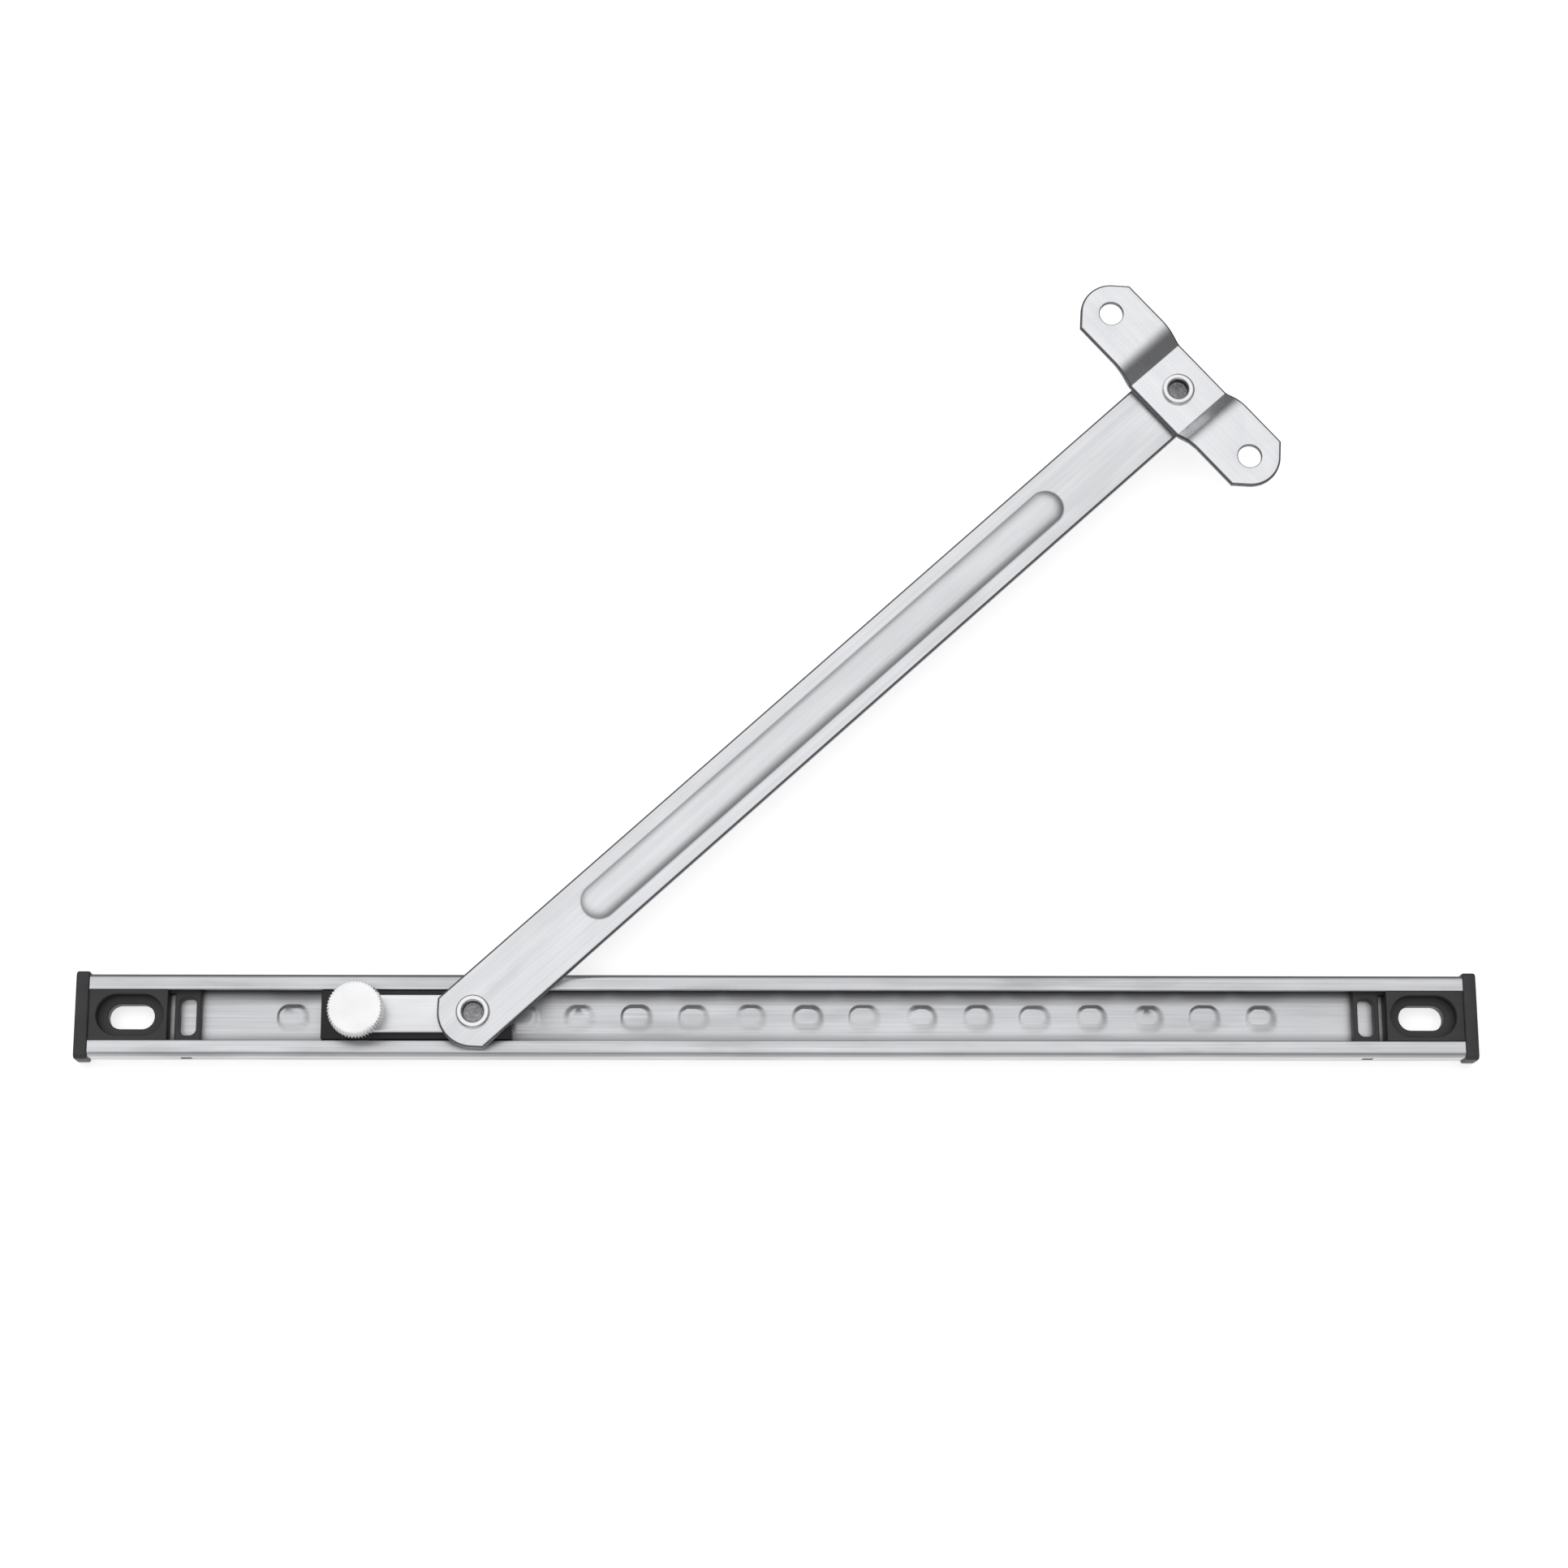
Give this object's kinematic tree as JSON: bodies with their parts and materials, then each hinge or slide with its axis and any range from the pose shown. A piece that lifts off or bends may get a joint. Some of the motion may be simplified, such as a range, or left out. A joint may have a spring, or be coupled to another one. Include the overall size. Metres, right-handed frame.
{
  "type": "friction stay hinge",
  "caption": "Sliding window stay: a slotted steel channel guides a clamped slider, whose pivoting arm carries a hat-shaped bracket for the sash.",
  "frame": {"origin": "middle of the rail's back face, on the surface it is screwed to", "axes": "+X along the rail, towards the end that the arm leans to; +Y across the rail, towards the sash; +Z away from the mounting surface"},
  "size_m": [0.3108, 0.1793, 0.0163],
  "materials": {
    "rail_steel": "satin roll-formed stainless, fine lengthwise lines",
    "arm_steel": "satin pressed steel",
    "bracket_steel": "satin pressed steel, slightly brighter than the arm",
    "strap_steel": "bright satin steel",
    "rivet_steel": "bright plated steel",
    "knob_plate": "pearl nickel plate",
    "stud_steel": "zinc plated thread",
    "nut_steel": "zinc plated",
    "spring_steel": "bright spring strip",
    "cap_nylon": "moulded charcoal nylon",
    "slider_nylon": "moulded black acetal",
    "washer_nylon": "plain grey nylon"
  },
  "bodies": {
    "rail": {"channel_rail": "rail_steel", "end_cap_left": "cap_nylon", "end_cap_right": "cap_nylon"},
    "slider": {"slider_block": "slider_nylon", "slider_strap": "strap_steel", "detent_spring": "spring_steel", "pivot_rivet": "rivet_steel", "arm_pivot_washer": "washer_nylon"},
    "nut": {"clamp_nut": "nut_steel"},
    "lock": {"lock_knob": "knob_plate", "lock_stud": "stud_steel"},
    "arm": {"stay_arm": "arm_steel", "bracket_rivet": "rivet_steel", "bracket_washer": "washer_nylon"},
    "bracket": {"sash_bracket": "bracket_steel"}
  },
  "joints": [
    {"name": "slider_slide", "type": "slide", "parent": "rail", "child": "slider", "axis": [1, 0, 0], "range_m": [-0.0266, 0.187]},
    {"name": "arm_pivot", "type": "hinge", "parent": "slider", "child": "arm", "pos_m": [-0.0676, 0, 0.0098], "axis": [0, 0, 1], "range_deg": [-192, 107]},
    {"name": "bracket_pivot", "type": "hinge", "parent": "arm", "child": "bracket", "pos_m": [0.09221, 0.14516, 0.0113], "axis": [0, 0, 1], "continuous": true},
    {"name": "lock_turn", "type": "hinge", "parent": "slider", "child": "lock", "pos_m": [-0.093, 0, 0.013], "axis": [0, 0, 1], "range_deg": [0, 272]},
    {"name": "clamp_drop", "type": "slide", "parent": "slider", "child": "nut", "axis": [0, 0, 1], "range_m": [-0.0006, 0]}
  ],
  "couplings": [
    {"joint": "lock_turn", "follows": "clamp_drop", "rad_per_m": -7854}
  ]
}
